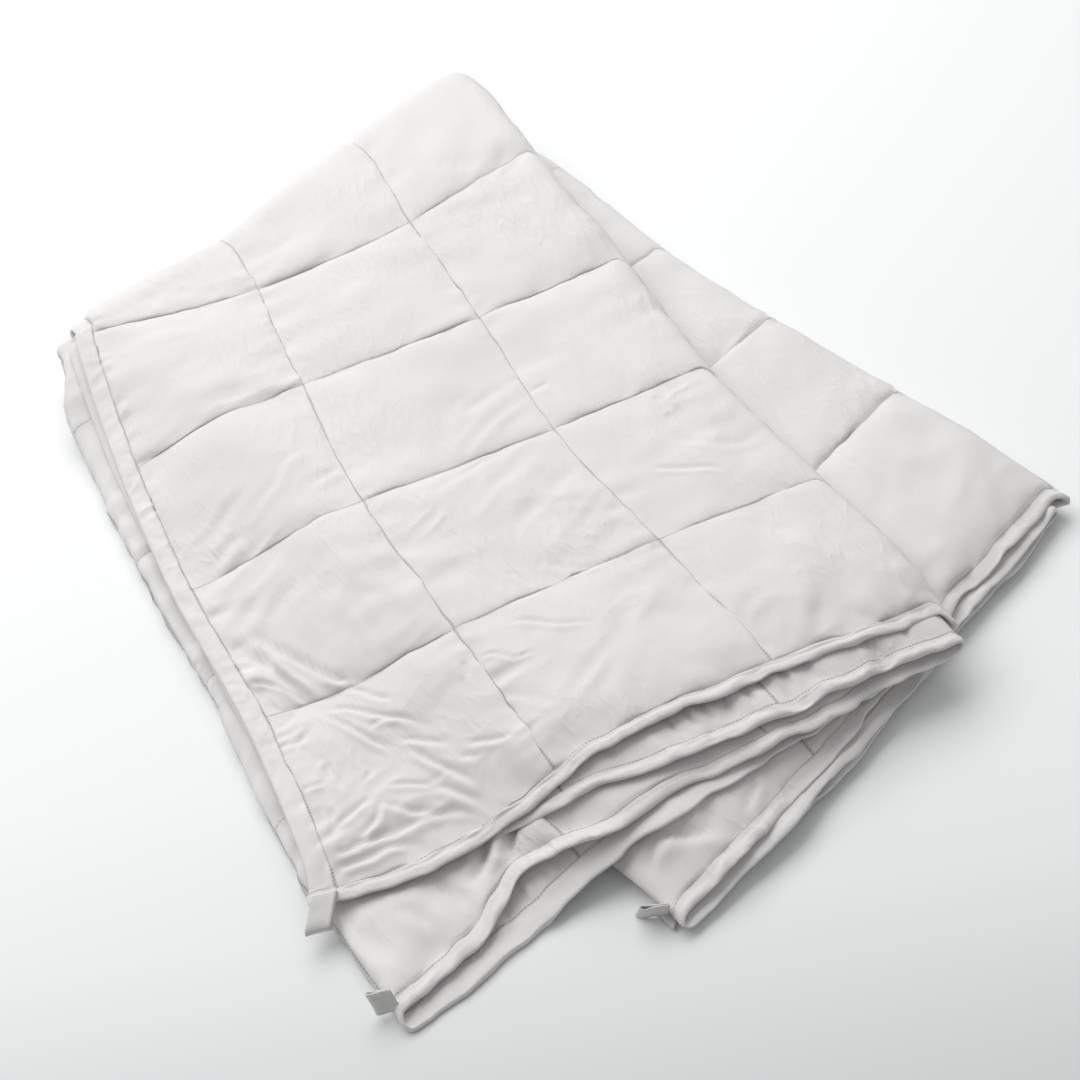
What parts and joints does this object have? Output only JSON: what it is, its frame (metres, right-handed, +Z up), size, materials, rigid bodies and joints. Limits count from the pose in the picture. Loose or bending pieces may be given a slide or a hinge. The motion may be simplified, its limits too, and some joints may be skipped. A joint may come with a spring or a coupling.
{
  "type": "weighted blanket",
  "caption": "Quilted weighted blanket lying folded: filled square cells in soft cloth, turned over a back fold in a slightly fanned flat pile, with short ribbon loops at its edges.",
  "frame": {"origin": "middle of the footprint, on the surface that the folded blanket lies on", "axes": "+Z up; +Y from the open front edges to the back fold; +X towards the side where the lower layers are fanned out"},
  "size_m": [0.6355, 0.9097, 0.0845],
  "materials": {
    "quilt_cloth": "matte plain-weave cotton, light warm grey",
    "ribbon": "matte woven ribbon, light grey"
  },
  "bodies": {
    "root": {"quilt": "quilt_cloth", "loop_corner_top": "ribbon", "loop_side_top": "ribbon", "loop_side_low": "ribbon", "loop_corner_low": "ribbon"}
  },
  "joints": []
}
